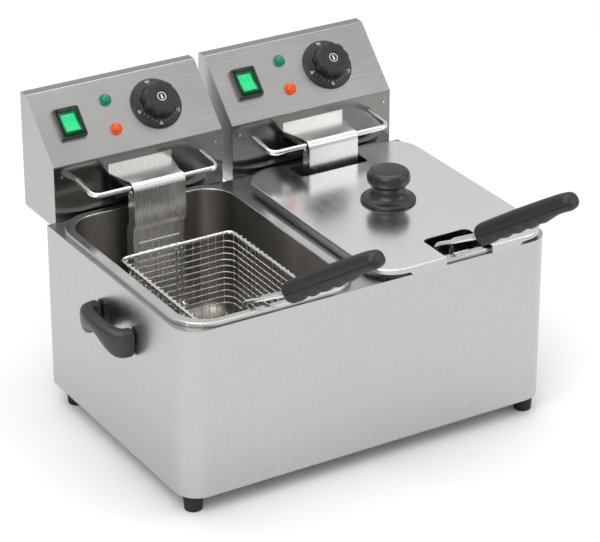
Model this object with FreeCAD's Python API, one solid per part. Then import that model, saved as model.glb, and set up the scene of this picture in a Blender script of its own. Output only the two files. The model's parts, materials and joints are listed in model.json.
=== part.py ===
import FreeCAD, Part
import math
import os

from FreeCAD import Vector

# Twin-tank electric countertop deep fryer. Millimetres, +X right, +Y back, +Z up.
# The origin is the middle of the overall footprint, on the bench under the feet.

# Driving dimensions: casing
CASE_W = 440.0
CASE_D = 297.5
CASE_H = 188.0
CORNER_R = 26.0
SHEET = 1.2
FRONT_Y = -132.2
FOOT_H = 20.0
DECK_Z = FOOT_H + CASE_H
REAR_Y = FRONT_Y + CASE_D
RIM_GAP = 0.3
REAR_FLANGE = 12.0
SCREW_HOLE_R = 1.9

# Feet
FOOT_TOP_R = 10.8
FOOT_LOW_R = 9.3
FOOT_AT = [(x, y) for x in (-CASE_W / 2 + 17, CASE_W / 2 - 17)
           for y in (FRONT_Y + 18.5, REAR_Y - 19.5)]

# Tanks
TANK_X = 112.0
TANK_IN_W = 186.0
TANK_IN_D = 275.0
TANK_DEPTH = 150.0
TANK_R = 33.0
TANK_BOTTOM_R = 20.0
RIM_W = 207.0
RIM_D = 293.0
RIM_R = 40.0
RIM_Z = DECK_Z + 5.0
TANK_Y = FRONT_Y + CASE_D / 2
TANK_FLOOR_Z = RIM_Z - TANK_DEPTH
DECK_HOLE_GAP = 7.0

# Side handles
HANDLE_Y = FRONT_Y + 144.4
HANDLE_L = 90.0
HANDLE_OUT = 31.0
HANDLE_Z0 = FOOT_H + 113.0
HANDLE_Z1 = FOOT_H + 152.0
HANDLE_SCREW_Z = FOOT_H + 140.0
HANDLE_ROOT = 15.0
HANDLE_BAR = 14.0
HANDLE_ARCH_R = 62.0
HANDLE_SCREW_Y = (HANDLE_Y - HANDLE_L / 2 + 8, HANDLE_Y + HANDLE_L / 2 - 8)

# Control heads, both together HEADS_W wide
HEADS_W = 418.0
HEAD_GAP = 12.8
HEAD_W = (HEADS_W - HEAD_GAP) / 2
HEAD_X = (HEADS_W + HEAD_GAP) / 4
HEAD_Y = REAR_Y + 1.0
PANEL_RUN = 60.2
PANEL_RISE = 61.7
PANEL_Z = FOOT_H + 249.9
HEAD_TOP_D = 13.7
HEAD_TOP_Z = PANEL_Z + PANEL_RISE
HEAD_BACK_Y = HEAD_Y + PANEL_RUN + HEAD_TOP_D
HEAD_TAIL_Z = FOOT_H + 179.9
PANEL_TILT = math.degrees(math.atan2(PANEL_RISE, PANEL_RUN))
HEAD_SCREW_Z = PANEL_Z - 12.0
HEAD_SCREW_IN = 9.0
TERMINAL_X = 22.0
TERMINAL_Z = DECK_Z + 30.0
SENSOR_X = 8.0

# Panel items: offset from the head's middle, and height up the slope
SWITCH_AT = (-66.0, 44.5)
LAMP_GREEN_AT = (-17.0, 61.8)
LAMP_ORANGE_AT = (-17.0, 27.5)
DIAL_AT = (38.0, 45.2)
DIAL_R = 29.0
SWITCH_W = 30.0
SWITCH_L = 36.0
ROCKER_W = 20.0
ROCKER_L = 25.0
ROCKER_TILT = 8.0
LAMP_BODY_R = 4.9
LAMP_COLLAR_R = 6.8
KNOB_R = 20.3
KNOB_H = 20.0
KNOB_BASE = 5.0
KNOB_LOBES = 9
SPINDLE_R = 3.0
SPINDLE_FIT = 0.05

# Mains inlet
GLAND_Z = DECK_Z + 22.0
GLAND_R = 9.0
GLAND_THREAD_R = 6.0
GLAND_BORE_R = 4.25

# Baskets
BASKET_W = 137.0
BASKET_D = 185.0
BASKET_H = 96.0
BASKET_FRONT_Y = FRONT_Y + 26.0
FRAME_WIRE_R = 2.2
STEM_WIRE_R = 2.3
BASKETS = {"left": (-113.5, DECK_Z - 13.5), "right": (114.0, DECK_Z - 6.8)}
STEM_SPREAD = 5.5
STEM_DROP = 45.0
STEM_RISE = 20.0
MESH_WALL = 2.0
MESH_R = 14.0
MESH_BOTTOM_R = 10.0
GRIP_L = 131.0
GRIP_SWING = 22.5
GRIP_RISE = 32.0
GRIP_SIDES = 16
FINGERS = 4
FINGER_PITCH = 19.0
FINGER_R = 9.0
# Share of the length, half width, half height and lift of each section
GRIP_SECTIONS = ((0.0, 8.5, 9.5, 0.0), (0.05, 11.5, 13.0, 0.0), (0.35, 12.0, 14.0, 1.5),
                 (0.7, 12.5, 14.0, 3.5), (0.94, 12.0, 12.5, 1.5), (1.0, 9.0, 9.0, 0.5))

# Bracket, basket rest and element
BRACKET_W = 61.6
BRACKET_REACH = 45.5
BRACKET_TAB_W = 76.0
BRACKET_BEND_R = 8.0
BRACKET_CHEEK = 14.0
BRACKET_Z = DECK_Z + 43.5
REST_W = 149.0
REST_REACH = 38.0
REST_Z = DECK_Z + 38.0
REST_WIRE_R = 3.0
ELEMENT_R = 4.0
ELEMENT_INNER_X = 36.0
ELEMENT_LEG = 26.0
ELEMENT_Z = TANK_FLOOR_Z + 17.0

# Lid over the right-hand tank
LID_X = 110.0
LID_W = 210.0
LID_FRONT_Y = FRONT_Y - 3.3
LID_BACK_Y = FRONT_Y + 280.0
LID_TOP_Z = DECK_Z + 10.6
LID_R = 31.0
LID_HEM_Z = RIM_Z + 0.4
LID_FLANGE_Z = DECK_Z - 0.5
LID_KNOB_AT = (LID_X, FRONT_Y + 146.6)
NOTCH_X = (85.0, 141.5)
NOTCH_D = 48.0
SLOT_X = (62.0, 146.5)
SLOT_FRONT_Y = FRONT_Y + 243.0

SIDES = {"left": -1, "right": 1}
NODES = {}


def block(x0, x1, y0, y1, z0, z1):
    """Box between two corners."""
    return Part.makeBox(x1 - x0, y1 - y0, z1 - z0, Vector(x0, y0, z0))


def rounded_block(x0, x1, y0, y1, z0, z1, radius, bottom_radius=0.0):
    """Box with rounded upright edges, and rounded bottom edges where asked."""
    solid = block(x0, x1, y0, y1, z0, z1)
    upright = [e for e in solid.Edges if abs(e.tangentAt(e.FirstParameter).z) > 0.9]
    solid = solid.makeFillet(radius, upright)
    if bottom_radius:
        low = [e for e in solid.Edges if e.BoundBox.ZMax < z0 + 0.01]
        solid = solid.makeFillet(bottom_radius, low)
    return solid


def rod(start, direction, radius, length):
    """Round bar from a point along a direction."""
    return Part.makeCylinder(radius, length, Vector(*start), Vector(*direction))


def fillet_wire(points, radius):
    """Straight runs through the points, joined by tangent arcs of the given radius."""
    points = [Vector(*p) for p in points]
    edges = []
    start = points[0]
    for before, corner, after in zip(points, points[1:], points[2:]):
        a = (before - corner).normalize()
        b = (after - corner).normalize()
        half = a.getAngle(b) / 2
        back = radius / math.tan(half)
        first = corner + a * back
        last = corner + b * back
        middle = (a + b).normalize()
        centre = corner + middle * (radius / math.sin(half))
        edges.append(Part.LineSegment(start, first).toShape())
        edges.append(Part.Arc(first, centre - middle * radius, last).toShape())
        start = last
    edges.append(Part.LineSegment(start, points[-1]).toShape())
    return Part.Wire(edges)


def bent_rod(points, radius, bend):
    """Round wire or tube bent through the points."""
    path = fillet_wire(points, bend)
    first = Vector(*points[0])
    ring = Part.makeCircle(radius, first, Vector(*points[1]) - first)
    return path.makePipeShell([Part.Wire(ring)], True, False)


def polygon_prism(points, push):
    """Flat polygon pushed along a vector."""
    corners = [Vector(*p) for p in points]
    return Part.Face(Part.makePolygon(corners + corners[:1])).extrude(Vector(*push))


def side_prism(profile, x0, x1):
    """Profile in Y and Z, pushed across from x0 to x1."""
    return polygon_prism([(x0, y, z) for y, z in profile], (x1 - x0, 0, 0))


def turned(profile, at=(0, 0, 0)):
    """Solid of revolution about +Z from radius and height pairs."""
    corners = [Vector(r, 0, z) for r, z in profile]
    face = Part.Face(Part.makePolygon(corners + corners[:1]))
    solid = face.revolve(Vector(0, 0, 0), Vector(0, 0, 1), 360)
    solid.translate(Vector(*at))
    return solid


def on_panel(shape, x, up, out=0.0):
    """Moves a shape from the local X, up-slope, outward frame to its place on the panel."""
    placed = shape.copy()
    placed.translate(Vector(0, up, out))
    placed.rotate(Vector(0, 0, 0), Vector(1, 0, 0), PANEL_TILT)
    placed.translate(Vector(x, HEAD_Y, PANEL_Z))
    return placed


def pan_head_screw(at, outward, shank_r, shank_l, head_r, head_h):
    """Pan-head screw: the head stands out from the point, the shank goes in."""
    axis = Vector(*outward)
    shank = Part.makeCylinder(shank_r, shank_l + 0.1, Vector(*at) - axis * shank_l, axis)
    head = Part.makeCylinder(head_r, head_h, Vector(*at), axis)
    rim = [e for e in head.Edges if (e.CenterOfMass - Vector(*at)).dot(axis) > head_h - 0.01]
    head = head.makeFillet(head_h * 0.6, rim[:1])
    return head.fuse(shank).removeSplitter()


def keep(name, *solids):
    """Stores a node as one solid or as a group of separate solids."""
    parts = [s for shape in solids for s in shape.Solids]
    NODES[name] = parts[0] if len(parts) == 1 else Part.makeCompound(parts)


# Casing

def make_shell():
    """Front and both sides in one bent sheet, with flanges turned in at the back."""
    half = CASE_W / 2
    outer = block(-half, half, FRONT_Y, REAR_Y, FOOT_H, DECK_Z)
    front = [e for e in outer.Edges if e.BoundBox.YMax < FRONT_Y + 0.01
             and e.BoundBox.ZLength > 1]
    outer = outer.makeFillet(CORNER_R, front)
    inner = block(-half + SHEET, half - SHEET, FRONT_Y + SHEET, REAR_Y + 1,
                  FOOT_H - 1, DECK_Z + 1)
    front = [e for e in inner.Edges if e.BoundBox.YMax < FRONT_Y + SHEET + 0.01
             and e.BoundBox.ZLength > 1]
    inner = inner.makeFillet(CORNER_R - SHEET, front)
    shell = outer.cut(inner)
    for side in SIDES.values():
        edge = side * (half - SHEET)
        x0, x1 = sorted((edge, edge - side * REAR_FLANGE))
        flange = block(x0, x1, REAR_Y - 2 * SHEET, REAR_Y - SHEET, FOOT_H + 2, DECK_Z - 2)
        shell = shell.fuse(flange)
        for y in HANDLE_SCREW_Y:
            shell = shell.cut(rod((side * (half - 6), y, HANDLE_SCREW_Z), (side, 0, 0), 2.7, 10))
    keep("outer_shell", shell.removeSplitter())
    return inner


def make_deck(inside):
    """Flat top sheet with the two tank openings."""
    half = CASE_W / 2
    deck = inside.common(block(-half, half, FRONT_Y, REAR_Y - SHEET, DECK_Z - SHEET, DECK_Z))
    for side in SIDES.values():
        x = side * TANK_X
        w = TANK_IN_W / 2 + DECK_HOLE_GAP
        d = TANK_IN_D / 2 + DECK_HOLE_GAP
        hole = rounded_block(x - w, x + w, TANK_Y - d, TANK_Y + d, DECK_Z - 3, DECK_Z + 3,
                             TANK_R + DECK_HOLE_GAP)
        deck = deck.cut(hole)
    keep("top_deck", deck)


def make_base(inside):
    """Bottom sheet with rows of vent slots and the four foot holes."""
    half = CASE_W / 2
    base = inside.common(block(-half, half, FRONT_Y, REAR_Y - 2 * SHEET, FOOT_H, FOOT_H + SHEET))
    for side in SIDES.values():
        for row in range(7):
            y = TANK_Y - 60 + 20 * row
            x = side * TANK_X
            base = base.cut(rounded_block(x - 35, x + 35, y - 2, y + 2, FOOT_H - 1, FOOT_H + 3, 1.9))
    for x, y in FOOT_AT:
        base = base.cut(rod((x, y, FOOT_H - 1), (0, 0, 1), 2.7, 4))
    keep("base_plate", base)


def make_rear_panel():
    """Back sheet of the casing with louvre slots and its six screws."""
    half = CASE_W / 2 - SHEET
    panel = block(-half, half, REAR_Y - SHEET, REAR_Y, FOOT_H, DECK_Z)
    for side in SIDES.values():
        for row in range(6):
            z = FOOT_H + 55 + 12 * row
            x = side * TANK_X
            slot = block(x - 40, x + 40, REAR_Y - 3, REAR_Y + 1, z, z + 4)
            panel = panel.cut(slot)
    screws = []
    for side in SIDES.values():
        for z in (FOOT_H + 20, (FOOT_H + DECK_Z) / 2, DECK_Z - 20):
            at = (side * (half - REAR_FLANGE / 2), REAR_Y, z)
            panel = panel.cut(rod((at[0], REAR_Y - 4, z), (0, 1, 0), SCREW_HOLE_R, 6))
            NODES["outer_shell"] = NODES["outer_shell"].cut(
                rod((at[0], REAR_Y - 5, z), (0, 1, 0), SCREW_HOLE_R, 4))
            screws.append(pan_head_screw(at, (0, 1, 0), 1.8, 5, 3.4, 1.8))
    keep("rear_panel", panel)
    keep("rear_panel_screws", *screws)


def make_feet():
    """Tapered rubber feet, each on its own screw."""
    feet = []
    screws = []
    for x, y in FOOT_AT:
        foot = Part.makeCone(FOOT_LOW_R, FOOT_TOP_R, FOOT_H, Vector(x, y, 0))
        foot = foot.makeFillet(1.2, [e for e in foot.Edges if e.BoundBox.ZMax < 0.01])
        foot = foot.cut(rod((x, y, -1), (0, 0, 1), 5.2, 9))
        foot = foot.cut(rod((x, y, 0), (0, 0, 1), 2.6, FOOT_H + 1))
        feet.append(foot)
        screws.append(pan_head_screw((x, y, 8), (0, 0, -1), 2.5, FOOT_H + 1, 4.6, 2.6))
    keep("feet", *feet)
    keep("foot_screws", *screws)


def make_side_handles():
    """Moulded carrying handles: a bowed bar on two deep roots, arched underneath."""
    for name, side in SIDES.items():
        wall = side * CASE_W / 2
        tip = wall + side * HANDLE_OUT
        y0 = HANDLE_Y - HANDLE_L / 2
        y1 = HANDLE_Y + HANDLE_L / 2
        outline = [
            Part.LineSegment(Vector(wall, y0, 0), Vector(wall + side * 8, y0, 0)).toShape(),
            Part.Arc(Vector(wall + side * 8, y0, 0), Vector(tip, HANDLE_Y, 0),
                     Vector(wall + side * 8, y1, 0)).toShape(),
            Part.LineSegment(Vector(wall + side * 8, y1, 0), Vector(wall, y1, 0)).toShape(),
            Part.LineSegment(Vector(wall, y1, 0), Vector(wall, y0, 0)).toShape(),
        ]
        bar = Part.Face(Part.Wire(outline)).extrude(Vector(0, 0, HANDLE_Z1 - HANDLE_Z0))
        bar.translate(Vector(0, 0, HANDLE_Z0))
        gap_y = HANDLE_L / 2 - HANDLE_ROOT
        inner = [
            Part.Arc(Vector(wall - side, HANDLE_Y - gap_y, 0),
                     Vector(tip - side * HANDLE_BAR, HANDLE_Y, 0),
                     Vector(wall - side, HANDLE_Y + gap_y, 0)).toShape(),
            Part.LineSegment(Vector(wall - side, HANDLE_Y + gap_y, 0),
                             Vector(wall - side, HANDLE_Y - gap_y, 0)).toShape(),
        ]
        gap = Part.Face(Part.Wire(inner)).extrude(Vector(0, 0, 60))
        gap.translate(Vector(0, 0, HANDLE_Z0 - 10))
        arch = rod((wall - side * 2, HANDLE_Y, HANDLE_Z1 - 15 - HANDLE_ARCH_R), (side, 0, 0),
                   HANDLE_ARCH_R, 60)
        low_edge = side_prism([(y0 - 5, HANDLE_Z0 - 5), (y1 + 5, HANDLE_Z0 - 5),
                               (y1 + 5, HANDLE_Z0 + 0.1), (y0 - 5, HANDLE_Z0 + 0.1)],
                              *sorted((wall - side, tip + side * 5)))
        bar = bar.cut(gap).cut(arch).cut(low_edge)
        top = [e for e in bar.Edges if e.BoundBox.ZMin > HANDLE_Z1 - 0.01
               and e.BoundBox.XLength > 5 and e.BoundBox.YLength > 70]
        bar = bar.makeFillet(6.0, top)
        screws = []
        for y in HANDLE_SCREW_Y:
            bar = bar.cut(rod((wall, y, HANDLE_SCREW_Z), (side, 0, 0), 2.5, 7))
            inside = (wall - side * SHEET, y, HANDLE_SCREW_Z)
            screws.append(pan_head_screw(inside, (-side, 0, 0), 2.4, SHEET + 6, 4.4, 2.6))
        keep("side_handle_" + name, bar)
        keep("handle_screws_" + name, *screws)


# Tanks

def make_tank(name, side):
    """Drawn oil tank: flat rim with a turned-down edge, rounded corners and floor."""
    x = side * TANK_X
    w = TANK_IN_W / 2
    d = TANK_IN_D / 2
    body = rounded_block(x - w - SHEET, x + w + SHEET, TANK_Y - d - SHEET, TANK_Y + d + SHEET,
                         TANK_FLOOR_Z - SHEET, RIM_Z, TANK_R + SHEET, TANK_BOTTOM_R + SHEET)
    rim = rounded_block(x - RIM_W / 2, x + RIM_W / 2, TANK_Y - RIM_D / 2, TANK_Y + RIM_D / 2,
                        DECK_Z + RIM_GAP, RIM_Z, RIM_R)
    under = rounded_block(x - RIM_W / 2 + SHEET, x + RIM_W / 2 - SHEET,
                          TANK_Y - RIM_D / 2 + SHEET, TANK_Y + RIM_D / 2 - SHEET,
                          DECK_Z - 1, RIM_Z - SHEET, RIM_R - SHEET)
    rim = rim.makeFillet(1.1, [e for e in rim.Edges if e.BoundBox.ZMin > RIM_Z - 0.01])
    tank = rim.cut(under).fuse(body)
    hollow = rounded_block(x - w, x + w, TANK_Y - d, TANK_Y + d, TANK_FLOOR_Z, RIM_Z + 5,
                           TANK_R, TANK_BOTTOM_R)
    tank = tank.cut(hollow)
    lip = [e for e in tank.Edges if e.BoundBox.ZMin > RIM_Z - 0.01
           and abs(e.CenterOfMass.x - x) < w + 0.5 and abs(e.CenterOfMass.y - TANK_Y) < d + 0.5]
    tank = tank.makeFillet(1.1, lip)
    keep("tank_" + name, tank.removeSplitter())


# Control heads

def head_profile(grow=0.0):
    """Outline of the head seen from the side, shrunk by a sheet thickness when asked."""
    top_lean = math.tan(math.radians(PANEL_TILT / 2)) * grow
    low_lean = math.tan(math.radians((90 - PANEL_TILT) / 2)) * grow
    return [
        (HEAD_Y + grow, HEAD_TAIL_Z + grow),
        (HEAD_Y + grow, PANEL_Z - low_lean),
        (HEAD_Y + PANEL_RUN + top_lean, HEAD_TOP_Z - grow),
        (HEAD_BACK_Y - grow, HEAD_TOP_Z - grow),
        (HEAD_BACK_Y - grow, HEAD_TAIL_Z + grow),
    ]


def make_housing(name, x):
    """Wedge-shaped head of folded sheet, open at the back, with its panel cut-outs."""
    x0 = x - HEAD_W / 2
    x1 = x + HEAD_W / 2
    outer = side_prism(head_profile(), x0, x1)
    soft = [e for e in outer.Edges if e.BoundBox.XLength > HEAD_W - 1
            and e.BoundBox.ZMin > HEAD_TAIL_Z + 1]
    outer = outer.makeFillet(2.0, soft)
    inner = side_prism(head_profile(SHEET), x0 + SHEET, x1 - SHEET)
    back = block(x0 + SHEET, x1 - SHEET, HEAD_BACK_Y - 2 * SHEET, HEAD_BACK_Y + 1,
                 HEAD_TAIL_Z + SHEET, HEAD_TOP_Z - SHEET)
    housing = outer.cut(inner).cut(back)
    cuts = [on_panel(block(-11.6, 11.6, -14.6, 14.6, -4, 4), x + SWITCH_AT[0], SWITCH_AT[1])]
    for lamp in (LAMP_GREEN_AT, LAMP_ORANGE_AT):
        cuts.append(on_panel(rod((0, 0, -4), (0, 0, 1), LAMP_BODY_R + 0.2, 8), x + lamp[0], lamp[1]))
    cuts.append(on_panel(rod((0, 0, -4), (0, 0, 1), SPINDLE_R + 1, 8), x + DIAL_AT[0], DIAL_AT[1]))
    for leg in (-TERMINAL_X, TERMINAL_X):
        cuts.append(rod((x + leg, HEAD_Y - 3, TERMINAL_Z), (0, 1, 0), ELEMENT_R + 0.3, 8))
    cuts.append(rod((x + SENSOR_X, HEAD_Y - 3, TERMINAL_Z), (0, 1, 0), 1.6, 8))
    for screw in (-1, 1):
        sx = x + screw * (HEAD_W / 2 - HEAD_SCREW_IN)
        cuts.append(rod((sx, HEAD_Y - 3, HEAD_SCREW_Z), (0, 1, 0), 1.6, 8))
    for cut in cuts:
        housing = housing.cut(cut)
    keep("head_housing_" + name, housing)


def make_rear_cover(name, x):
    """Back cover of the head with louvres, its screws and the gland for the mains lead."""
    x0 = x - HEAD_W / 2 + SHEET
    x1 = x + HEAD_W / 2 - SHEET
    z0 = HEAD_TAIL_Z + SHEET
    z1 = HEAD_TOP_Z - SHEET
    back = HEAD_BACK_Y
    cover = block(x0, x1, back - SHEET, back, z0, z1)
    for row in range(6):
        z = HEAD_TOP_Z - 34 - 10 * row
        for middle in (x - 45, x + 45):
            cover = cover.cut(rounded_block(middle - 30, middle + 30, back - 4, back + 1,
                                            z, z + 3.6, 1.0))
    cover = cover.cut(rod((x, back - 4, GLAND_Z), (0, 1, 0), GLAND_THREAD_R + 0.2, 8))
    screws = []
    for sx in (-1, 1):
        for z in (z0 + 8, z1 - 8):
            at = (x + sx * (HEAD_W / 2 - 10), back, z)
            cover = cover.cut(rod((at[0], back - 4, z), (0, 1, 0), SCREW_HOLE_R, 6))
            screws.append(pan_head_screw(at, (0, 1, 0), 1.8, 5, 3.4, 1.6))
    for sx in (-1, 1):
        at = (x + sx * (HEAD_W / 2 - HEAD_SCREW_IN), HEAD_Y, HEAD_SCREW_Z)
        screws.append(pan_head_screw(at, (0, -1, 0), 1.5, 5, 2.6, 0.9))
    nut = []
    for corner in range(6):
        angle = math.radians(60 * corner)
        nut.append((x + GLAND_R * math.cos(angle), back, GLAND_Z + GLAND_R * math.sin(angle)))
    gland = polygon_prism(nut, (0, 4, 0))
    collar = Part.makeCone(GLAND_R - 1, GLAND_THREAD_R, 8.0, Vector(x, back + 4, GLAND_Z),
                           Vector(0, 1, 0))
    thread = rod((x, back - 10, GLAND_Z), (0, 1, 0), GLAND_THREAD_R, 10)
    locknut = rod((x, back - SHEET - 4, GLAND_Z), (0, 1, 0), GLAND_R, 4)
    bore = rod((x, back - 12, GLAND_Z), (0, 1, 0), GLAND_BORE_R, 30)
    gland = gland.fuse(collar).fuse(thread).fuse(locknut).cut(bore)
    keep("head_rear_cover_" + name, cover)
    keep("head_screws_" + name, *screws)
    keep("cable_gland_" + name, gland.removeSplitter())


def make_switch(name, x):
    """Mains switch: bezel with its body, lit rocker, and the splash cover over it."""
    up = SWITCH_AT[1]
    sx = x + SWITCH_AT[0]
    bezel = rounded_block(-SWITCH_W / 2, SWITCH_W / 2, -SWITCH_L / 2, SWITCH_L / 2, 0, 5, 3.0)
    rim = [e for e in bezel.Edges if e.BoundBox.ZMin > 4.99]
    bezel = bezel.makeFillet(1.5, rim)
    body = block(-11.4, 11.4, -14.4, 14.4, -24, 0.5)
    recess = rounded_block(-12.4, 12.4, -15.4, 15.4, 1.5, 6, 2.0)
    well = block(-10.4, 10.4, -13.6, 13.6, -9, 6)
    keep("switch_bezel_" + name, on_panel(bezel.fuse(body).cut(recess).cut(well), sx, up))
    peak = 4.6
    dip = 3.0
    half = ROCKER_L / 2
    profile = [(-half, -4.5), (-half, peak), (0, dip), (half, peak), (half, -4.5), (0, -6.5)]
    rocker = side_prism(profile, -ROCKER_W / 2, ROCKER_W / 2)
    ends = [e for e in rocker.Edges if e.BoundBox.XLength > 1 and e.BoundBox.ZMin > peak - 0.1]
    rocker = rocker.makeFillet(0.8, ends)
    rocker.rotate(Vector(0, 0, 0), Vector(1, 0, 0), -ROCKER_TILT)
    keep("rocker_" + name, on_panel(rocker, sx, up))
    cover = rounded_block(-12, 12, -15, 15, 1.5, 9.2, 4.0)
    crown = [e for e in cover.Edges if e.BoundBox.ZMin > 9.1]
    cover = cover.makeFillet(2.5, crown)
    hollow = rounded_block(-11.2, 11.2, -14.2, 14.2, 0, 8.4, 3.2)
    crown = [e for e in hollow.Edges if e.BoundBox.ZMin > 8.3]
    hollow = hollow.makeFillet(1.8, crown)
    keep("switch_cover_" + name, on_panel(cover.cut(hollow), sx, up))


def make_lamp(node, x, at):
    """Pilot lamp: collar, domed lens and threaded body in one piece."""
    r = LAMP_BODY_R
    collar = LAMP_COLLAR_R
    lamp = turned([(0, -18), (r, -18), (r, 0), (collar, 0), (collar, 1.6), (collar - 0.6, 2.4),
                   (r + 0.5, 2.4), (r, 4.0), (r - 1.3, 5.2), (r - 3, 5.9), (0, 6.1)])
    keep(node, on_panel(lamp, x + at[0], at[1]))


def make_dial(name, x):
    """Thermostat control: dial skirt, lobed knob on its spindle, and the body behind."""
    dx = x + DIAL_AT[0]
    up = DIAL_AT[1]
    hub = SPINDLE_R + 1.5
    skirt = turned([(hub, 0.6), (DIAL_R, 0.6), (DIAL_R, 1.8), (DIAL_R - 2.5, 4.2),
                    (KNOB_R + 0.5, KNOB_BASE), (hub, KNOB_BASE)])
    keep("dial_skirt_" + name, on_panel(skirt, dx, up))
    grip = turned([(0, KNOB_BASE), (KNOB_R, KNOB_BASE), (KNOB_R - 0.8, KNOB_H - 2.5),
                   (KNOB_R - 3.0, KNOB_H), (8.5, KNOB_H), (7.5, KNOB_H - 1.0), (0, KNOB_H - 1.0)])
    for lobe in range(KNOB_LOBES):
        angle = 2 * math.pi * (lobe + 0.5) / KNOB_LOBES
        reach = KNOB_R + 2.6
        scallop = rod((reach * math.cos(angle), reach * math.sin(angle), KNOB_BASE - 0.1),
                      (0, 0, 1), 5.0, KNOB_H)
        grip = grip.cut(scallop)
    spindle = rod((0, 0, -8), (0, 0, 1), SPINDLE_R, 13.5)
    keep("knob_" + name, on_panel(grip.fuse(spindle), dx, up))
    body = block(-19, 19, -18, 18, -24, -SHEET - 0.1)
    body = body.fuse(rod((0, 0, -30), (0, 0, 1), 8, 8))
    body = body.cut(rod((0, 0, -9), (0, 0, 1), SPINDLE_R + SPINDLE_FIT, 12))
    keep("thermostat_" + name, on_panel(body, dx, up))


def make_terminal_block(name, x):
    """Ceramic terminal block standing on the head's floor, with its clamp bores."""
    z = HEAD_TAIL_Z + SHEET
    y = HEAD_Y + 6
    body = block(x - 45, x - 5, y, y + 26, z, z + 22)
    for k in range(4):
        cx = x - 40 + 10 * k
        body = body.cut(rod((cx, y - 1, z + 12), (0, 1, 0), 3.0, 9))
        body = body.cut(rod((cx, y + 13, z + 10), (0, 0, 1), 2.5, 14))
    keep("terminal_block_" + name, body)


def make_bracket(name, x):
    """Folded plate that covers the element's legs: back tab, shelf, bend and long apron."""
    wall = HEAD_Y
    front = HEAD_Y - BRACKET_REACH
    top = BRACKET_Z
    jog_z = DECK_Z - 4.0
    low = ELEMENT_Z + 14.0
    line = [(0, wall - SHEET / 2, top + 9), (0, wall - SHEET / 2, top - SHEET / 2),
            (0, front + SHEET / 2, top - SHEET / 2), (0, front + SHEET / 2, jog_z),
            (0, front + 6, jog_z - 8), (0, front + 6, low)]
    path = [Vector(*p) for p in line]
    outline = sheet_outline(path, SHEET)
    wide = BRACKET_TAB_W / 2
    plate = Part.Face(outline).extrude(Vector(2 * wide, 0, 0))
    plate.translate(Vector(x - wide, 0, 0))
    bends = [e for e in plate.Edges if e.BoundBox.XLength > 2 * wide - 1]
    outer_bend = [e for e in bends if abs(e.CenterOfMass.y - front) < 0.1
                  and abs(e.CenterOfMass.z - top) < 0.1]
    plate = plate.makeFillet(BRACKET_BEND_R, outer_bend)
    inner_bend = [e for e in plate.Edges if e.BoundBox.XLength > 2 * wide - 1
                  and abs(e.CenterOfMass.y - front - SHEET) < 0.1
                  and abs(e.CenterOfMass.z - top + SHEET) < 0.1]
    plate = plate.makeFillet(BRACKET_BEND_R - SHEET, inner_bend)
    for side in (-1, 1):
        trim = polygon_prism([(x + side * BRACKET_W / 2, front - 5, 0),
                              (x + side * BRACKET_W / 2, front + BRACKET_CHEEK, 0),
                              (x + side * wide, wall - 3, 0),
                              (x + side * (wide + 5), wall - 3, 0),
                              (x + side * (wide + 5), front - 5, 0)], (0, 0, 400))
        plate = plate.cut(trim)
        x0, x1 = sorted((x + side * BRACKET_W / 2, x + side * (BRACKET_W / 2 - SHEET)))
        cheek = side_prism([(front + SHEET, top - BRACKET_CHEEK),
                             (front + BRACKET_CHEEK, top - BRACKET_CHEEK),
                             (front + BRACKET_CHEEK, jog_z), (front + 20, jog_z - 8), (front + 20, low),
                             (front + 6.6, low), (front + 6.6, jog_z - 8),
                             (front + SHEET, jog_z)], x0, x1)
        plate = plate.fuse(cheek)
    for rib in range(3):
        z = jog_z - 24 - 11 * rib
        bead = rod((x - BRACKET_W / 2 + 6, front + 7.2, z), (1, 0, 0), 2.4, BRACKET_W - 12)
        groove = rod((x - BRACKET_W / 2 + 7, front + 7.4, z), (1, 0, 0), 1.4, BRACKET_W - 14)
        behind = block(x - 40, x + 40, front + 7.2, front + 12, z - 5, z + 5)
        plate = plate.fuse(bead.cut(behind)).cut(groove)
    keep("element_bracket_" + name, plate.removeSplitter())


def sheet_outline(points, thickness):
    """Closed outline of a folded sheet whose middle runs through the points, in a YZ plane."""
    def shifted(sign):
        row = []
        for i, p in enumerate(points):
            steps = []
            if i > 0:
                steps.append((p - points[i - 1]).normalize())
            if i < len(points) - 1:
                steps.append((points[i + 1] - p).normalize())
            normals = [Vector(0, -s.z, s.y) for s in steps]
            middle = normals[0] + normals[-1]
            middle = middle.normalize()
            reach = thickness / 2 / middle.dot(normals[0])
            row.append(p + middle * (sign * reach))
        return row
    ring = shifted(1) + shifted(-1)[::-1]
    return Part.makePolygon(ring + ring[:1])


def make_basket_rest(name, x):
    """Chrome wire bail that holds a lifted basket, welded to two small pads."""
    half = REST_W / 2
    y = HEAD_Y - REST_REACH
    root_z = REST_Z + 5
    wall = HEAD_Y - 0.5
    wire = bent_rod([(x - half, wall, root_z), (x - half, y, REST_Z),
                     (x + half, y, REST_Z), (x + half, wall, root_z)], REST_WIRE_R, 9)
    keep("basket_rest_" + name, wire)


def make_element(name, x):
    """Tubular heating element: two legs down behind the bracket and a serpentine bed."""
    leg_y = HEAD_Y - ELEMENT_LEG
    z = ELEMENT_Z
    front = FRONT_Y + 48
    inner = ELEMENT_INNER_X
    outer = 2 * ELEMENT_INNER_X
    mid = HEAD_Y - 98
    back = HEAD_Y - 66
    half = [(TERMINAL_X, HEAD_Y + 22, TERMINAL_Z), (TERMINAL_X, leg_y, TERMINAL_Z),
            (TERMINAL_X, leg_y, z), (TERMINAL_X, back, z), (outer, back, z),
            (outer, front, z), (inner, front, z), (inner, mid, z)]
    points = [(x + px, y, pz) for px, y, pz in half]
    points += [(x - px, y, pz) for px, y, pz in reversed(half)]
    keep("heating_element_" + name, bent_rod(points, ELEMENT_R, 14))


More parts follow.
